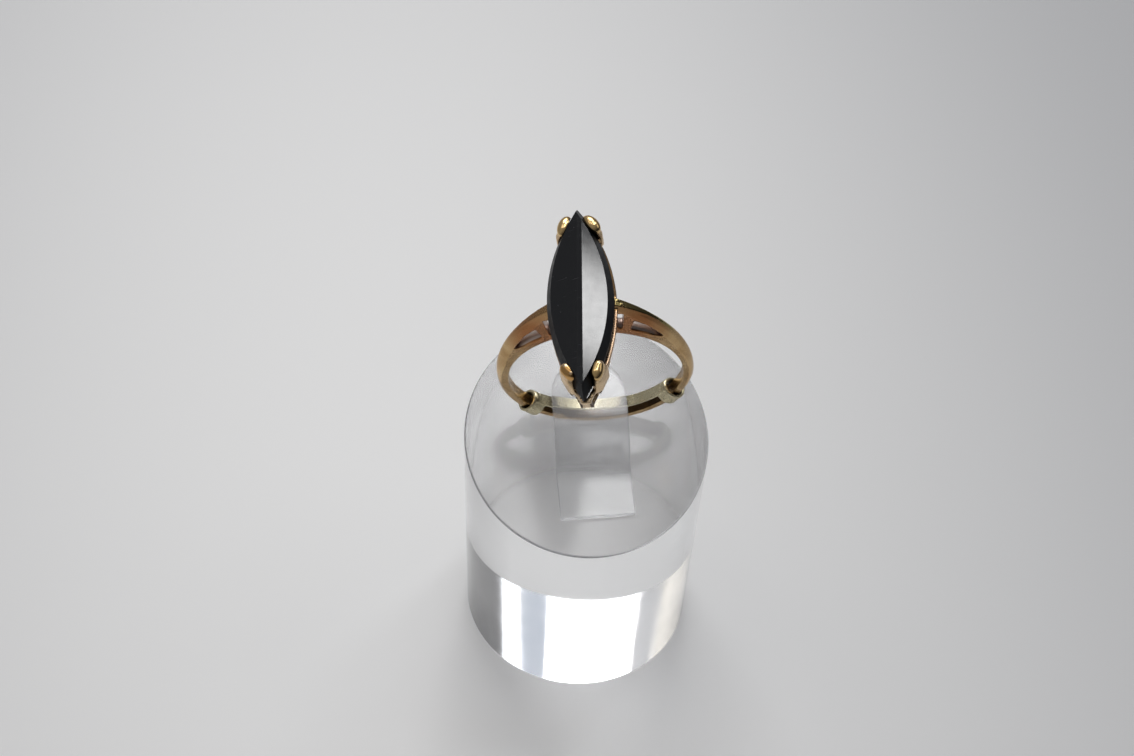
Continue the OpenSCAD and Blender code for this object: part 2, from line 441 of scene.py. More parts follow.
def millimetres() -> Tree:
    """Finds or makes the node group that gives a piece's own coordinates in millimetres."""
    found = bpy.data.node_groups.get("millimetres")
    if found:
        return found
    graph, end = start_group("millimetres", {"Place": "Vector"})
    place = graph.add("TexCoord").outputs["Object"]
    size = graph.add("Mapping", Vector=place, Scale=(1 / MM, 1 / MM, 1 / MM))
    graph.fill(end, Place=size.outputs["Vector"])
    return graph.tree


def metal_wear_and_shade() -> Tree:
    """Finds or makes the node group that gives worn metal's patches, fine grain, painted shade for its
    recesses (from ambient occlusion) and normal.
    """
    found = bpy.data.node_groups.get("metal_wear_and_shade")
    if found:
        return found
    graph, end = start_group("metal_wear_and_shade", {
        "Place": "Vector", "Patches": "Float", "Fine": "Float", "Deep": "Float", "Normal": "Vector"})
    place = graph.add("Group", node_tree=millimetres()).outputs["Place"]
    patches = graph.noise(place, scale=0.45, detail=5.0)
    fine = graph.noise(place, scale=9.0, detail=5.0)
    # Painted shade: ambient occlusion finds the recesses, where shade falls, and the finishes darken them
    shade = graph.add("AmbientOcclusion", samples=4, Distance=0.45 * MM).outputs["AO"]
    bump = graph.add("Bump", Height=fine, Strength=0.12, Distance=0.02 * MM)
    graph.fill(
        end, Place=place, Patches=graph.span(patches, 0.3, 0.7), Fine=graph.span(fine, 0.3, 0.75),
        Deep=graph.span(shade, 0.25, 0.85, 1.0, 0.0), Normal=bump.outputs["Normal"])
    return graph.tree


@dataclass(frozen=True)
class Finish:
    """What every finish has: a name and a plain Principled shader to start from."""

    name: str

    def start(self, **values: object) -> tuple[Graph, Node, Material]:
        """Makes the material.

        Args:
            values: The shader's plain socket values by name, with underscores for spaces.

        Returns:
            The graph, the shader and the material.
        """
        material = bpy.data.materials.new(self.name)
        material.use_nodes = True
        graph = Graph(material.node_tree)
        shader = material.node_tree.nodes["Principled BSDF"]
        graph.fill(shader, **values)
        return graph, shader, material


@dataclass(frozen=True)
class GoldFinish(Finish):
    """Worn yellow gold, with painted shade that darkens its recesses, and a darker, redder painted shade
    round given spots.
    """

    body: Colour = (0.42, 0.26, 0.11)
    # Painted shade: the colour that recesses darken to
    recess_painted_shade: Colour = (0.09, 0.035, 0.02)
    rub: Colour = (0.62, 0.44, 0.23)
    # Painted shade: a darker, redder tone painted round given spots, fading out over a span of millimetres
    warm_painted_shade: Colour = (0.34, 0.15, 0.06)
    rough: Pair = (0.16, 0.34)
    warm_painted_shade_spots: tuple[Triple, ...] = ()
    warm_painted_shade_span: Pair = (1.6, 4.2)

    def make(self) -> Material:
        """Builds the material from the finish's values."""
        graph, shader, material = self.start(Metallic=1.0)
        # Real wear patches and grain, with painted shade for the recesses
        wear = graph.add("Group", node_tree=metal_wear_and_shade()).outputs
        worn = graph.mix(wear["Patches"], self.body, self.rub)
        # Painted shade round each spot
        for spot in self.warm_painted_shade_spots:
            away = graph.measure(wear["Place"], "DISTANCE", spot)
            worn = graph.mix(graph.span(away, *self.warm_painted_shade_span, 1.0, 0.0), worn, self.warm_painted_shade)
        graph.fill(
            shader, Base_Color=graph.mix(wear["Deep"], worn, self.recess_painted_shade), Normal=wear["Normal"],
            Roughness=graph.span(wear["Fine"], 0.0, 1.0, *self.rough))
        return material


@dataclass(frozen=True)
class StoneFinish(Finish):
    """Polished black onyx with fine scratches and a little dust."""

    body: Colour = (0.003, 0.004, 0.006)
    dust: Colour = (0.10, 0.10, 0.11)
    dust_scale: float = 1.6
    dust_size: Pair = (0.03, 0.07)
    scratch_turn: float = 0.9
    scratch_stretch: Triple = (0.35, 9.0, 1.0)
    scratch_from: Pair = (0.735, 0.78)
    scratch_depth: float = 0.4
    rough: Pair = (0.08, 0.11)
    bend: float = 1.54
    shine: float = 0.5

    def make(self) -> Material:
        """Builds the material from the finish's values."""
        graph, shader, material = self.start(IOR=self.bend, Specular_IOR_Level=self.shine)
        place = graph.add("Group", node_tree=millimetres()).outputs["Place"]
        specks = graph.add("TexVoronoi", Vector=place, Scale=self.dust_scale)
        dots = graph.span(specks.outputs["Distance"], *self.dust_size, 1.0, 0.0)
        streaks = graph.add(
            "Mapping", Vector=place, Rotation=(0.0, 0.0, self.scratch_turn),
            Scale=self.scratch_stretch)
        marks = graph.noise(streaks.outputs["Vector"], scale=1.3, detail=1.0)
        lines = graph.span(marks, *self.scratch_from, 0.0, self.scratch_depth)
        dusty = graph.mix(dots, self.body, self.dust)
        haze = graph.noise(place, scale=1.4, detail=6.0)
        graph.fill(
            shader, Base_Color=graph.mix(lines, dusty, self.dust),
            Roughness=graph.span(haze, 0.3, 0.7, *self.rough))
        return material


@dataclass(frozen=True)
class ClearFinish(Finish):
    """Clear acrylic, with faint wear from handling in its roughness, and a colour that can fade to a second
    tint along a direction, as painted shade and painted light.
    """

    tint: Colour = (0.985, 0.99, 0.995)
    shadow: Colour = (0.86, 0.86, 0.87)
    shadow_edge: Colour = (0.12, 0.12, 0.125)
    rough: Pair = (0.05, 0.10)
    bend: float = 1.49
    clear: float = 1.0
    # Painted shade and light: along this direction, over this span in millimetres, the colour turns from tint
    # to this one
    painted_gradient_tint: Colour = (0.985, 0.99, 0.995)
    painted_gradient_way: Triple = (0.0, 0.0, 0.0)
    painted_gradient_span: Pair = (1.0, 2.0)

    def make(self) -> Material:
        """Builds the material from the finish's values, and lets light reach what stands in its shadow."""
        graph, shader, material = self.start(IOR=self.bend, Transmission_Weight=self.clear)
        place = graph.add("Group", node_tree=millimetres()).outputs["Place"]
        # The share of the painted gradient at each point
        far = graph.span(graph.measure(place, "DOT_PRODUCT", self.painted_gradient_way), *self.painted_gradient_span)
        wear = graph.noise(place, scale=0.25, detail=5.0)
        graph.fill(
            shader, Base_Color=graph.mix(far, self.tint, self.painted_gradient_tint),
            Roughness=graph.span(wear, 0.35, 0.7, *self.rough))
        path = graph.add("LightPath").outputs["Is Shadow Ray"]
        facing = graph.add("LayerWeight", Blend=0.5).outputs["Facing"]
        thin = graph.add("BsdfTransparent", Color=graph.mix(facing, self.shadow, self.shadow_edge))
        either = graph.add(
            "MixShader", {0: path, 1: shader.outputs["BSDF"], 2: thin.outputs["BSDF"]})
        graph.fill(graph.tree.nodes["Material Output"], Surface=either.outputs["Shader"])
        return material


def clothe(piece: Piece, finishes: tuple[Finish, ...], chosen: Callable[[Vector, Vector], str]) -> None:
    """Gives each face of a piece its finish.

    Args:
        piece: The piece.
        finishes: Its finishes, in the order of its slots.
        chosen: Takes a face's centre and normal, and returns the name of its finish.
    """
    for finish in finishes:
        piece.data.materials.append(finish.make())
    slots = {finish.name: slot for slot, finish in enumerate(finishes)}
    for face in piece.data.polygons:
        face.material_index = slots[chosen(face.center, face.normal)]


@dataclass
class StandBlock:
    """The clear round block with a slanted top face."""

    radius: float = 12.5
    sides: int = 384
    low_edge: float = 0.12
    rim_edge: float = 0.16
    edge_steps: int = 3
    merge: float = 1e-4
    smooth_under: float = 35.0
    rim_above: float = 0.5
    finishes: tuple[ClearFinish, ...] = (
        # Painted shade: the wall darkens towards its left side
        ClearFinish(
            "clear_acrylic", painted_gradient_tint=(0.40, 0.40, 0.41), painted_gradient_way=(-1.0, 0.0, 0.0), painted_gradient_span=(8.2, 12.5)),
        # Painted shade: the face lets through only about half the light, and painted light brightens it
        # towards the back left
        ClearFinish(
            "rubbed_acrylic_painted_shade", tint=(0.52, 0.515, 0.515), rough=(0.14, 0.19),
            painted_gradient_tint=(0.98, 0.975, 0.975), painted_gradient_way=(-0.75, 0.66, 0.0), painted_gradient_span=(4.0, 9.0)),
        ClearFinish(
            "resting_acrylic", shadow=(0.2, 0.2, 0.205), shadow_edge=(0.2, 0.2, 0.205)),
        # Painted shade: the upper rim darkens towards its front left
        ClearFinish(
            "rim_acrylic", painted_gradient_tint=(0.30, 0.30, 0.31), painted_gradient_way=(-0.8, -0.6, 0.0), painted_gradient_span=(2.0, 8.0)))
    places: Places = Places()

    def build(self) -> Piece:
        """Models the block as a cylinder, cut by the slanted face, with softened rims."""
        tall = self.places.block_high + self.radius
        bpy.ops.mesh.primitive_cylinder_add(
            vertices=self.sides, radius=self.radius, depth=tall, location=(0, 0, tall / 2))
        piece = move(named("clear_block"), Matrix.Identity(4))
        enter(piece)
        face = self.places.face
        cut(face.translation, face.to_3x3() @ UP)
        tidy(self.merge)
        for edge, there in ((self.low_edge, self.on_floor), (self.rim_edge, self.on_face)):
            pick("EDGE", lambda a, b: there(a) and there(b))
            bpy.ops.mesh.bevel(offset=edge, segments=self.edge_steps, affect="EDGES")
        tidy(self.merge)
        leave()
        smooth(piece, self.smooth_under)
        return settle(piece, Matrix.Identity(4))

    def on_floor(self, point: Vector) -> bool:
        """Tells whether a point lies on the block's base."""
        return abs(point.z) < TOUCH

    def on_face(self, point: Vector) -> bool:
        """Tells whether a point lies on the slanted face."""
        return abs((self.places.face.inverted() @ point).z) < TOUCH

    def finish_at(self, centre: Vector, normal: Vector) -> str:
        """Names the finish of a face of the block.

        Args:
            centre: The face's centre.
            normal: Its normal.

        Returns:
            The finish's name.
        """
        if normal.dot(self.places.face.to_3x3() @ UP) > ALIGNED:
            return "rubbed_acrylic_painted_shade"
        if normal.z < -ALIGNED:
            return "resting_acrylic"
        high = centre.z > self.rim_above * self.places.block_high * MM
        return "rim_acrylic" if high and abs(normal.z) > TOUCH else "clear_acrylic"

    def dress(self, piece: Piece) -> None:
        """Gives the wall, the slanted face, the base and the rims their finishes."""
        clothe(piece, self.finishes, self.finish_at)


@dataclass
class ClipStrip:
    """The clear strip that is bent up through the ring and lies over the guard."""

    wide: float = 7.45
    thick: float = 0.9
    front: float = 9.0
    bend: float = 4.4
    top_bend: float = -0.1
    back: float = 6.5
    foot: float = 0.53
    over: float = 3.93
    bend_round: float = 0.8
    bend_steps: int = 6
    end_steps: int = 24
    edge: float = 0.12
    edge_steps: int = 3
    edge_over: float = 50.0
    merge: float = 1e-2
    smooth_under: float = 35.0
    places: Places = Places()

    def route(self) -> list[Vector]:
        """Works out the strip's middle line in side view, its bends rounded.

        Returns:
            The points, Y along the face and Z square to it.
        """
        low = Vector((0, -self.bend, self.foot))
        high = Vector((0, self.top_bend, self.over))
        start = Vector((0, -self.front, self.foot))
        end = Vector((0, self.back - self.wide / 2, self.over))
        return [start, *self.arc(start, low, high), *self.arc(low, high, end), end]

    def arc(self, before: Vector, corner: Vector, after: Vector) -> list[Vector]:
        """Rounds a corner of the route.

        Args:
            before: The point before the corner.
            corner: The corner.
            after: The point after it.

        Returns:
            Points on the round.
        """
        near = corner + (before - corner).normalized() * self.bend_round
        far = corner + (after - corner).normalized() * self.bend_round
        return [
            near.lerp(corner, s).lerp(corner.lerp(far, s), s)
            for s in (step / self.bend_steps for step in range(self.bend_steps + 1))
        ]

    def build(self) -> Piece:
        """Models the strip: an edge drawn out along the route, with a round end, then thickened."""
        route = self.route()
        bpy.ops.mesh.primitive_plane_add(size=1)
        size = Matrix.Diagonal((self.wide, (route[1] - route[0]).length, 1, 1))
        piece = move(named("clear_strip"), shift(*((route[0] + route[1]) / 2)) @ size)
        enter(piece)
        pick("EDGE", lambda a, b: min(a.y, b.y) > route[1].y - TOUCH)
        for here, there in zip(route[1:], route[2:]):
            draw_out(there - here)
        for step in range(self.end_steps):
            now, then = (radians(90 * s / self.end_steps) for s in (step, step + 1))
            ahead = self.wide / 2 * (sin(then) - sin(now))
            narrow = max(cos(then), TOUCH) / cos(now)
            draw_out((0, ahead, 0))
            bpy.ops.transform.resize(value=(narrow, 1, 1))
        tidy(self.merge)
        leave()
        thicken(piece, self.thick)
        round_edges(piece, self.edge, self.edge_steps, self.edge_over)
        smooth(piece, self.smooth_under)
        return settle(piece, self.places.clip)

    def dress(self, piece: Piece) -> None:
        """Gives the strip its clear finish."""
        finish = ClearFinish("clear_strip_acrylic", rough=(0.14, 0.2), bend=1.43, clear=0.86)
        piece.data.materials.append(finish.make())


@dataclass
class OnyxStone:
    """The long pointed stone with a roof-shaped top, a narrow table and a bevel round its edge."""

    long: float = 20.0
    wide: float = 6.1
    widest_at: float = 13.15
    ridge: float = 1.6
    table: Pair = (-0.09, 0.345)
    table_turn: float = -1.3
    roof_slope: float = 12.0
    bevel_run: float = 0.43
    roof_near: float = 0.3
    girdle: float = 0.3
    back: float = 1.35
    back_turns: tuple[float, ...] = (-25.4, -8.5, 8.5, 25.4)
    back_slope: float = 45.0
    edge: float = 0.035
    edge_steps: int = 2
    edge_over: float = 8.0
    smooth_under: float = 9.0
    roof_margin: float = 6.0
    sides: int = 640
    finishes: tuple[StoneFinish, ...] = (
        StoneFinish("polished_onyx"), StoneFinish("satin_onyx", rough=(0.3, 0.45), shine=0.05))
    places: Places = Places()

    @property
    def arc_radius(self) -> float:
        """The radius of the two arcs of the outline."""
        return (self.long ** 2 + self.wide ** 2) / (4 * self.wide)

    def side(self, way: int) -> Piece:
        """Models the round solid that holds one side of the stone.

        Args:
            way: 1 for the side whose middle lies to the right, -1 for the other.

        Returns:
            The solid, tapered over its upper part.
        """
        radius = self.arc_radius
        across = way * (radius - self.wide / 2)
        bpy.ops.mesh.primitive_cylinder_add(
            vertices=self.sides, radius=radius, depth=self.back, location=(across, 0, -self.back / 2))
        piece = move(named("stone_side"), Matrix.Identity(4))
        enter(piece)
        pick("FACE", lambda centre, normal: normal.z > ALIGNED)
        draw_out((0, 0, self.ridge))
        narrow = (radius - self.bevel_run * self.ridge) / radius
        bpy.ops.transform.resize(value=(narrow, 1, 1))
        bpy.ops.transform.translate(value=(0, -self.roof_near, 0))
        leave()
        return piece

    def form(self) -> Piece:
        """Models the stone's sharp form: two round solids intersected, then cut facet by facet."""
        piece = self.side(1)
        combine(piece, self.side(-1), "INTERSECT")
        piece.name = piece.data.name = "onyx_stone"
        enter(piece)
        slope = radians(self.roof_slope)
        for way, side in zip((-1, 1), self.table):
            outward = turn(self.table_turn, Axis.Z) @ Vector((way * sin(slope), 0, cos(slope)))
            cut(Vector((side, 0, self.ridge)), outward)
        for half in (0, 180):
            for angle in self.back_turns:
                middle = turn(half, Axis.Z) @ shift(self.wide / 2 - self.arc_radius, 0, 0)
                facet = (middle @ turn(angle, Axis.Z) @ shift(self.arc_radius, 0, -self.girdle)
                         @ turn(self.back_slope, Axis.Y))
                cut(facet.translation, facet.to_3x3() @ Vector((1, 0, 0)))
        tidy(TOUCH)
        leave()
        return piece

    def build(self) -> Piece:
        """Models the stone, its edges softened."""
        piece = self.form()
        round_edges(piece, self.edge, self.edge_steps, self.edge_over)
        smooth(piece, self.smooth_under)
        return settle(piece, self.places.head @ shift(0, 0, self.widest_at))

    def dress(self, piece: Piece) -> None:
        """Gives the stone's roof its polished finish, and its bevel and back a duller one.

        Args:
            piece: The stone.
        """
        up = (self.places.head.to_3x3() @ UP).normalized()
        least = cos(radians(self.roof_slope + self.roof_margin))
        names = [finish.name for finish in self.finishes]
        clothe(piece, self.finishes, lambda centre, normal: names[normal.dot(up) <= least])


@dataclass(frozen=True)
class ClawHead:
    """One claw's rounded head: the side and the end of the stone where it lies, and its turn."""

    side: int
    end: int
    angle: float
    size: float = 1.0

    @property
    def way(self) -> int:
        """Which way the claw turns, which its mirror images turn against."""
        return self.side * self.end


@dataclass
class GoldMount:
    """The soldered gold: hoop, pierced shoulders, basket and claws, with worn edges."""

    node: Piece
    voxel: float = 0.068
    softened: int = 3
    claws_softened: int = 28
    most_faces: int = 185000
    smooth_under: float = 50.0
    heads: tuple[ClawHead, ...] = (
        ClawHead(-1, -1, 46.0, 0.88), ClawHead(1, -1, 6.0, 0.94), ClawHead(-1, 1, 20.0), ClawHead(1, 1, 36.0))
    basket_side: float = 0.1
    claw_at: Pair = (1.24, 7.65)
    claw_angle: float = 25.3
    head_half: Triple = (0.68, 1.14, 0.6)
    head_rise: float = 0.86
    blade_half: Triple = (0.46, 1.15, 1.6)
    blade_out: float = 0.14
    blade_drop: float = 0.55
    beads: tuple[tuple[Triple, float], ...] = (
        ((3.3, 0.2, 12.38), 0.19), ((3.68, -0.14, 12.2), 0.15), ((-3.15, -0.25, 12.38), 0.2))
    seat_grown: Triple = (1.02, 1.006, 1.04)
    soft_claw_under: float = 0.85
    soft_claw_span: Pair = (5.8, 9.4)
    soft_blade_from: float = 0.12
    soft_blade_wide: float = 1.7
    soft_blade_deep: float = 2.6
    cut_depth: float = 0.5
    cut_above: float = 6.0
    cut_span: Pair = (2.0, 7.5)
    opening_at: Pair = (4.3, 9.0)
    opening_shrunk: float = 0.86
    openings: tuple[tuple[Pair, ...], ...] = (
        ((2.62, 8.41), (3.41, 8.66), (3.74, 11.25), (2.97, 11.38)),
        ((4.12, 8.41), (5.43, 7.38), (7.04, 6.63), (6.75, 7.28), (5.68, 8.91), (4.57, 9.89)))
    shoulder_middle: Pair = (-5.6, 0.2)
    shoulder_radius: float = 15.15
    flat_span: Pair = (3.1, 8.0)
    flat_skin: float = 0.08
    flat_lean: float = 0.6
    head_grown: float = 1.15
    blade_under: float = 2.5
    blade_from: float = 5.9
    wall_under: float = 1.2
    wall_from: float = 8.6
    wall_side: float = 0.3
    wall_lean: float = 0.5
    rail_drop: float = 1.9
    rail_span: Pair = (0.75, 6.2)
    guard_from: float = -5.4
    guard_facing: float = 0.55
    stone: OnyxStone = field(default_factory=OnyxStone)
    places: Places = Places()

    def build(self) -> Piece:
        """Models the mount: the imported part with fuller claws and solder, melted into one worn surface."""
        piece = copy_node(self.node, "worn_gold_mount")
        move(piece, self.places.ring.inverted())
        join([piece, *self.claws(), *self.solder()])
        melt(piece, self.voxel, self.softened)
        soften(piece, self.claws_softened, self.on_claw)
        self.score(piece)
        combine(piece, self.seat(), "DIFFERENCE")
        faces = 2 * len(piece.data.polygons)
        if faces > self.most_faces:
            modify(piece, "DECIMATE", ratio=self.most_faces / faces)
        smooth(piece, self.smooth_under)
        return settle(piece, self.places.ring)

    @property
    def basket(self) -> Matrix:
        """The stone's widest line, in the middle of the basket, on the ring's own axes."""
        return turn(self.places.head_turn, Axis.Z) @ shift(self.basket_side, 0, self.stone.widest_at)

    def claw_place(self, head: ClawHead, rise: float = 0.0) -> Matrix:
        """Returns where a claw meets the stone, or its middle line at a height above that."""
        return self.basket @ shift(head.side * self.claw_at[0], head.end * self.claw_at[1], rise)

    def head_place(self, head: ClawHead) -> Matrix:
        """Returns where a claw's head lies, with its turn and size."""
        at = self.claw_place(head, self.head_rise)
        return at @ turn(head.way * head.angle, Axis.Z) @ Matrix.Scale(head.size, 4)

    def blade_place(self, head: ClawHead) -> Matrix:
        """Returns where a claw's blade lies, with its turn."""
        return self.claw_place(head) @ turn(head.way * self.claw_angle, Axis.Z)

    def claws(self) -> list[Piece]:
        """Models the claws' heads and blades."""
        pieces = []
        for head in self.heads:
            blade = self.blade_place(head) @ shift(head.side * self.blade_out, 0, -self.blade_drop)
            pieces.append(pebble("head", self.head_place(head), self.head_half))
            pieces.append(pebble("blade", blade, self.blade_half))
        return pieces

    def solder(self) -> list[Piece]:
        """Models the beads of solder where the shoulders meet the basket."""
        return [pebble("bead", shift(*middle), (size, size, size)) for middle, size in self.beads]

    def score(self, piece: Piece) -> None:
        """Draws straight edges round the openings, where their cut sides begin.

        Args:
            piece: The mount.
        """
        enter(piece)
        for side in (-self.cut_depth, self.cut_depth):
            pick("FACE", lambda centre, normal: (
                centre.z > self.cut_above and within(abs(centre.x), self.cut_span)))
            bpy.ops.mesh.bisect(plane_co=(0, side, 0), plane_no=(0, 1, 0))
        leave()

    def seat(self) -> Piece:
        """Models the stone a little too large, which is cut out of the claws."""
        cutter = self.stone.form()
        place = turn(self.places.head_turn, Axis.Z) @ shift(0, 0, self.stone.widest_at)
        return move(cutter, place @ Matrix.Diagonal((*self.seat_grown, 1.0)))

    def on_claw(self, point: Vector) -> bool:
        """Tells whether a point, on the ring's own axes, lies on a claw's head or outside on its blade."""
        high = point.z > self.stone.widest_at - self.soft_claw_under
        return (high and within(abs(point.y), self.soft_claw_span)
                or any(self.outside(head, point) for head in self.heads))

    def outside(self, head: ClawHead, point: Vector) -> bool:
        """Tells whether a point lies on the outside of a claw's blade."""
        local = self.blade_place(head).inverted() @ point
        return (head.side * local.x > self.soft_blade_from and abs(local.y) < self.soft_blade_wide
                and -self.soft_blade_deep < local.z < 0)

    def on_flat(self, point: Vector, normal: Vector) -> bool:
        """Tells whether a face lies on the right shoulder's narrow flat top."""
        out = hypot(point.x - self.shoulder_middle[0], point.z - self.shoulder_middle[1])
        return (out > self.shoulder_radius - self.flat_skin and within(point.x, self.flat_span)
                and point.z >= 0 and abs(normal.y) < self.flat_lean)

    def on_head(self, point: Vector) -> bool:
        """Tells whether a face lies on a claw's polished head."""
        local = (self.head_place(head).inverted() @ point for head in self.heads)
        return any(sum((a / b) ** 2 for a, b in zip(at, self.head_half)) < self.head_grown for at in local)

    def on_blade(self, point: Vector) -> bool:
        """Tells whether a face lies on a claw's blade or on the basket's end."""
        return point.z > self.stone.widest_at - self.blade_under and abs(point.y) > self.blade_from

    def on_end_wall(self, point: Vector, normal: Vector) -> bool:
        """Tells whether a face lies on the outer wall of the basket's end, which gets painted shade."""
        low = point.z < self.stone.widest_at - self.wall_under and abs(point.y) > self.wall_from
        return low and abs(point.x) > self.wall_side and normal.z < self.wall_lean

    def on_rail(self, point: Vector) -> bool:
        """Tells whether a face lies on the upper rail's long sides, beside the stone."""
        high = self.stone.widest_at
        return high - self.rail_drop < point.z < high and within(abs(point.y), self.rail_span)

    def under_guard(self, point: Vector, normal: Vector) -> bool:
        """Tells whether a face lies on the shank's inner wall where the guard covers it, which gets painted
        shade.
        """
        inwards = -(point.x * normal.x + point.z * normal.z)
        return point.z < self.guard_from and inwards > self.guard_facing * hypot(point.x, point.z)

    def in_opening(self, point: Vector) -> bool:
        """Tells whether a face is the cut side of an opening in a shoulder."""
        deep = abs(point.y) <= self.cut_depth and point.z >= 0
        return deep and any(self.inside(Vector((abs(point.x), point.z)), shape) for shape in self.openings)

    def inside(self, point: Vector, corners: tuple[Pair, ...]) -> bool:
        """Tells whether a point lies in a polygon or just outside it.

        Args:
            point: The point.
            corners: The polygon's corners in turn.

        Returns:
            Whether it does.
        """
        middle = sum((Vector(corner) for corner in corners), Vector((0, 0))) / len(corners)
        point = middle + (point - middle) * self.opening_shrunk
        found = False
        for (x1, y1), (x2, y2) in zip(corners, corners[1:] + corners[:1]):
            if (y1 > point.y) != (y2 > point.y) and point.x < x1 + (point.y - y1) * (x2 - x1) / (y2 - y1):
                found = not found
        return found

    def finishes(self) -> tuple[GoldFinish, ...]:
        """Returns the mount's finishes, in the order of its slots."""
        far, high = self.opening_at
        # Painted shade: a darker, redder tone round the shoulders' openings and round the near-left claw head
        opening_shade_spots = tuple(tuple(self.places.ring @ Vector((side * far, 0, high))) for side in (-1, 1))
        shaded_head_spot = tuple(self.places.ring @ self.head_place(self.heads[0]).translation)
        return (
            GoldFinish("worn_gold", warm_painted_shade_spots=opening_shade_spots),
            # Painted shade: the right shoulder's flat top is darker and more olive than the rest of the gold
            GoldFinish(
                "flat_gold_painted_shade", body=(0.34, 0.27, 0.11), rub=(0.42, 0.34, 0.15), rough=(0.12, 0.22)),
            GoldFinish(
                "cut_gold", body=(0.58, 0.46, 0.40), rub=(0.70, 0.60, 0.54),
                recess_painted_shade=(0.20, 0.07, 0.04), rough=(0.32, 0.5)),
            GoldFinish(
                "polished_gold", body=(0.70, 0.46, 0.19), rub=(0.82, 0.60, 0.30), rough=(0.15, 0.24),
                warm_painted_shade=(0.58, 0.33, 0.12), warm_painted_shade_spots=(shaded_head_spot,), warm_painted_shade_span=(0.7, 1.8)),
            # Painted light: the blades and the basket's end get a paler, brighter gold, as they look lit
            GoldFinish(
                "blade_gold_painted_light", body=(0.64, 0.46, 0.27), rub=(0.78, 0.60, 0.39),
                recess_painted_shade=(0.34, 0.20, 0.10), rough=(0.2, 0.36)),
            # Painted shade: near-black gold on the basket's end walls, the rail's far half and the shank
            # under the guard
            GoldFinish(
                "painted_shade_gold", body=(0.05, 0.03, 0.015), rub=(0.10, 0.06, 0.03),
                recess_painted_shade=(0.02, 0.01, 0.01), rough=(0.25, 0.4)),
            GoldFinish(
                "rail_gold", body=(0.40, 0.25, 0.15), rub=(0.58, 0.42, 0.29), rough=(0.2, 0.36)))

    def finish_at(self, point: Vector, normal: Vector) -> str:
        """Names the finish of a face of the mount.

        Args:
            point: The face's centre.
            normal: Its normal.

        Returns:
            The finish's name.
        """
        if self.on_flat(point, normal):
            return "flat_gold_painted_shade"
        if self.in_opening(point):
            return "cut_gold"
        if self.on_head(point):
            return "polished_gold"
        if self.on_end_wall(point, normal) or self.under_guard(point, normal):
            return "painted_shade_gold"
        # The rail's far half gets painted shade
        if self.on_rail(point):
            return "rail_gold" if point.y < 0 else "painted_shade_gold"
        return "blade_gold_painted_light" if self.on_blade(point) else "worn_gold"

    def dress(self, piece: Piece) -> None:
        """Gives the mount its worn gold, and its heads, blades, rails and openings their own; some parts get
        painted shade, the blades painted light.

        Args:
            piece: The mount.
        """
        back = self.places.ring.inverted() @ Matrix.Scale(1 / MM, 4)
        spin = self.places.ring.to_3x3().inverted()
        clothe(piece, self.finishes(), lambda centre, normal: self.finish_at(back @ centre, spin @ normal))


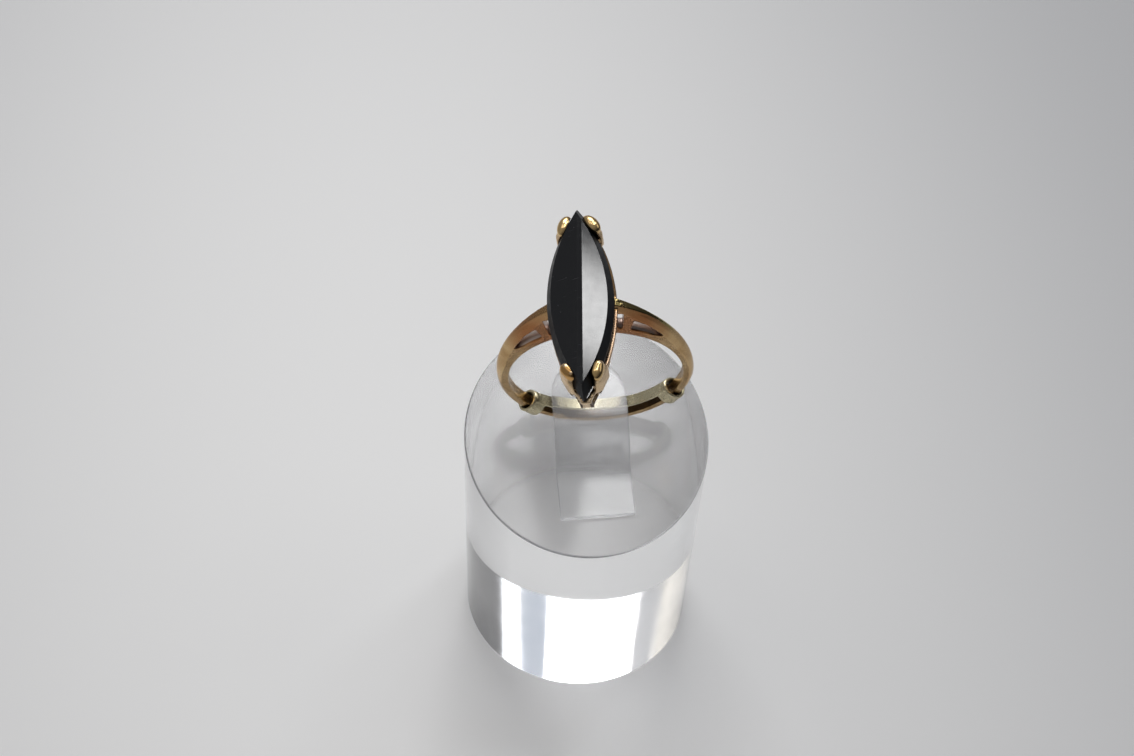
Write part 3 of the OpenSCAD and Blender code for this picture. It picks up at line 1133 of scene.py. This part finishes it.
@dataclass
class RingGuard:
    """The paler strip inside the lower shank, with a sleeve folded round the shank at each end."""

    radius: float = 8.5
    rise: float = 1.5
    wide: float = 1.15
    thick: float = 0.3
    strip_end: float = 42.0
    strip_steps: int = 48
    sleeve_angle: float = 37.0
    sleeve_at: float = 8.711
    sleeve_half: Pair = (1.07, 0.96)
    sleeve_long: float = 1.4
    sleeve_sides: int = 64
    lip: float = 0.17
    lip_in: float = 0.4
    lip_sides: int = 20
    pad: Triple = (0.3, 0.62, 0.46)
    pad_in: float = 0.7
    voxel: float = 0.055
    softened: int = 3
    places: Places = Places()

    def build(self) -> Piece:
        """Models the guard: the strip and its two sleeves, melted into one."""
        piece = join([self.strip(), *self.sleeve(1), *self.sleeve(-1)])
        piece.name = piece.data.name = "worn_ring_guard"
        melt(piece, self.voxel, self.softened)
        hold(piece)
        bpy.ops.object.shade_smooth()
        return settle(piece, self.places.ring)

    def along(self, angle: float) -> Vector:
        """Returns the point of the strip's middle surface at an angle from its lowest point."""
        reach, turned = self.radius + self.thick / 2, radians(angle)
        return Vector((reach * sin(turned), 0, self.rise - reach * cos(turned)))

    def strip(self) -> Piece:
        """Models the strip: an edge drawn out both ways along its arc, then thickened."""
        bpy.ops.mesh.primitive_plane_add(size=1)
        step = 2 * (90 - self.strip_end) / self.strip_steps
        first = self.along(step / 2)
        piece = move(named("strip"), shift(0, 0, first.z) @ Matrix.Diagonal((2 * first.x, self.wide, 1, 1)))
        enter(piece)
        for way in (1, -1):
            pick("EDGE", lambda a, b: min(way * a.x, way * b.x) > first.x - TOUCH)
            for count in range(self.strip_steps // 2):
                here, there = (self.along(way * step * (count + part)) for part in (0.5, 1.5))
                draw_out(there - here)
        tidy(TOUCH)
        leave()
        thicken(piece, self.thick)
        return piece

    def sleeve(self, way: int) -> list[Piece]:
        """Models one sleeve: a round tube with thick lips, and a pad where its mouth meets the strip.

        Args:
            way: 1 for the right sleeve, -1 for the left one.

        Returns:
            The pieces.
        """
        angle = self.sleeve_angle if way > 0 else 180 - self.sleeve_angle
        place = turn(angle, Axis.Y) @ shift(self.sleeve_at, 0, 0)
        shape = Matrix.Diagonal((*self.sleeve_half, 1.0, 1.0))
        bpy.ops.mesh.primitive_cylinder_add(
            vertices=self.sleeve_sides, radius=1.0, depth=self.sleeve_long, end_fill_type="NOTHING")
        tube = move(named("sleeve"), place @ shape)
        thicken(tube, self.thick)
        pieces = [tube]
        for end in (-1, 1):
            bpy.ops.mesh.primitive_torus_add(
                major_segments=self.sleeve_sides, minor_segments=self.lip_sides, major_radius=1.0,
                minor_radius=self.lip)
            low = end * (self.sleeve_long / 2 - self.lip * self.lip_in)
            pieces.append(move(named("lip"), place @ shift(0, 0, low) @ shape))
        mouth = way * (self.sleeve_long / 2 - self.pad[2] * self.pad_in)
        pieces.append(pebble("pad", place @ shift(-self.sleeve_half[0], 0, mouth), self.pad))
        return pieces

    def dress(self, piece: Piece) -> None:
        """Gives the guard its paler gold finish."""
        finish = GoldFinish(
            "pale_gold", body=(0.60, 0.52, 0.32), rub=(0.74, 0.67, 0.46),
            recess_painted_shade=(0.08, 0.06, 0.03), rough=(0.22, 0.36))
        piece.data.materials.append(finish.make())


@dataclass
class Camera:
    """The camera, at the photograph's place and angle."""

    place: Triple = (-15.317, -100.545, 156.412)
    angles: Triple = (40.439, -2.008, -4.993)
    lens: float = 50.79
    sensor: float = 36.0
    nearest: float = 1.0

    def build(self) -> None:
        """Makes the camera and hands it to the scene."""
        data = bpy.data.cameras.new("camera")
        data.sensor_fit = "HORIZONTAL"
        data.sensor_width = self.sensor
        data.lens = self.lens
        data.clip_start = self.nearest * MM
        camera = bpy.data.objects.new("camera", data)
        camera.location = Vector(self.place) * MM
        camera.rotation_euler = [radians(angle) for angle in self.angles]
        bpy.context.scene.collection.objects.link(camera)
        bpy.context.scene.camera = camera


@dataclass(frozen=True)
class Panel:
    """A soft panel light, given by the part of the sky that it fills, seen from the ring."""

    name: str
    bearing: float
    height: float
    wide: float
    tall: float
    glow: float
    tint: Triple = (1.0, 1.0, 1.0)
    away: float = 0.9

    def build(self, target: Vector) -> None:
        """Makes the light, turned to its target.

        Args:
            target: What it points at, in metres.
        """
        data = bpy.data.lights.new(self.name, "AREA")
        data.shape = "RECTANGLE"
        level = cos(radians(self.height))
        data.size = 2 * self.away * level * tan(radians(self.wide / 2))
        data.size_y = 2 * self.away * tan(radians(self.tall / 2))
        data.energy = self.glow * pi * data.size * data.size_y
        data.color = self.tint
        lamp = bpy.data.objects.new(self.name, data)
        bearing, height = radians(self.bearing), radians(self.height)
        way = Vector((
            sin(bearing) * cos(height), cos(bearing) * cos(height), sin(height)))
        lamp.location = target + way * self.away
        lamp.rotation_euler = way.to_track_quat("Z", "Y").to_euler()
        bpy.context.scene.collection.objects.link(lamp)


@dataclass
class Studio:
    """The plain pale floor with a painted pool of light, the soft lights, and how far light is followed in
    the clear block.
    """

    floor_size: float = 1.6
    floor_drop: float = 0.02
    floor_tint: Colour = (0.95, 0.95, 0.95)
    # Painted light: the floor is palest round one point and fades to this dimmer colour over a reach in
    # millimetres
    floor_painted_dim_edge: Colour = (0.495, 0.50, 0.515)
    painted_light_centre: Pair = (-24.0, 12.0)
    painted_light_reach: float = 150.0
    painted_light_long: float = 0.5
    mottle: float = 0.985
    air_dark: Colour = (0.03, 0.031, 0.036)
    air_pale: Colour = (0.262, 0.26, 0.262)
    air_way: Triple = (-0.6, 0.45, 0.58)
    air_span: Pair = (-0.3, 0.5)
    lit_at: Triple = (0.0, 0.0, 0.04)
    bounces: int = 24
    clear_bounces: int = 20
    panels: tuple[Panel, ...] = (
        Panel("back_panel", -3.0, 48.0, 42.0, 27.0, 4.5),
        Panel("side_strip", 47.0, 54.0, 12.0, 24.0, 3.6, (0.93, 0.96, 1.0)),
        Panel("blue_panel", 28.0, 57.0, 22.0, 11.0, 0.45, (0.72, 0.82, 1.0)),
        Panel("cream_panel", -37.0, 58.0, 26.0, 8.0, 0.44, (0.96, 0.97, 1.0)),
        Panel("far_cream_panel", -68.0, 57.5, 38.0, 9.0, 1.05, (1.0, 0.94, 0.84)),
        Panel("top_panel", 27.0, 69.55, 45.0, 3.7, 15.0),
        Panel("overhead_panel", 30.0, 84.0, 90.0, 12.0, 5.2),
        Panel("left_panel", -62.0, 71.0, 44.0, 12.0, 1.5, (1.0, 0.97, 0.92)),
        Panel("right_panel", 82.0, 42.0, 38.0, 17.0, 0.8, (1.0, 0.98, 0.94)),
    )

    def build(self) -> None:
        """Makes the floor, the air's light and the panels, and sets how light and colour are shown."""
        bpy.ops.mesh.primitive_plane_add(size=self.floor_size, location=(0, 0, -self.floor_drop * MM))
        floor = named("floor")
        floor.data.materials.append(self.floor_material())
        self.world()
        for panel in self.panels:
            panel.build(Vector(self.lit_at))
        scene = bpy.context.scene
        scene.view_settings.view_transform = "Standard"
        scene.cycles.max_bounces = self.bounces
        scene.cycles.glossy_bounces = scene.cycles.transmission_bounces = self.clear_bounces

    def floor_material(self) -> Material:
        """Makes the floor's matt, faintly mottled finish, with a painted pool of light that fades to a dimmer
        colour away from one point.
        """
        graph, shader, material = Finish("pale_floor").start(Roughness=0.6)
        place = graph.add("TexCoord").outputs["Object"]
        # Painted pool of light: a soft spherical falloff, stretched along Y
        x, y = self.painted_light_centre
        reach = 1 / (self.painted_light_reach * MM)
        offset = [-x * MM * reach, -y * MM * reach * self.painted_light_long, 0.0]
        spot = graph.add(
            "Mapping", Vector=place, Location=offset, Scale=(reach, reach * self.painted_light_long, 1.0))
        painted_falloff = graph.add("TexGradient", Vector=spot.outputs["Vector"], gradient_type="SPHERICAL")
        soft = graph.span(painted_falloff.outputs["Fac"], 0.0, 1.0)
        soft.node.interpolation_type = "SMOOTHSTEP"
        pale = tuple(c * self.mottle for c in self.floor_tint)
        mottled = graph.mix(graph.noise(place, scale=9.0, detail=3.0), self.floor_tint, pale)
        graph.fill(shader, Base_Color=graph.mix(soft, self.floor_painted_dim_edge, mottled))
        return material

    def world(self) -> None:
        """Makes the air's soft light, darker low in front and to the right."""
        world = bpy.data.worlds.new("soft_air")
        bpy.context.scene.world = world
        world.use_nodes = True
        graph = Graph(world.node_tree)
        way = graph.add("TexCoord").outputs["Generated"]
        bright = graph.span(graph.measure(way, "DOT_PRODUCT", self.air_way), *self.air_span)
        graph.fill(world.node_tree.nodes["Background"], Color=graph.mix(bright, self.air_dark, self.air_pale))


def main() -> None:
    """Builds the studio and every piece, in order."""
    logging.basicConfig(level=logging.INFO, format="%(name)s: %(message)s")
    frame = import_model()
    Camera().build()
    Studio().build()
    for node, slot, assembly in (
            ("stand_block", "clear_block", StandBlock()),
            ("clip_tongue", "clear_strip", ClipStrip()),
            ("ring_mount", "gold", GoldMount(frame["nodes"]["ring_mount"])),
            ("ring_guard", "pale_gold", RingGuard()),
            ("onyx", "onyx", OnyxStone())):
        piece = assembly.build()
        assembly.dress(piece)
        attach(piece, BODY)
        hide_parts(node)
        LOG.info("%s replaces %s with %d faces", piece.name, node, len(piece.data.polygons))


if __name__ == "__main__":
    main()
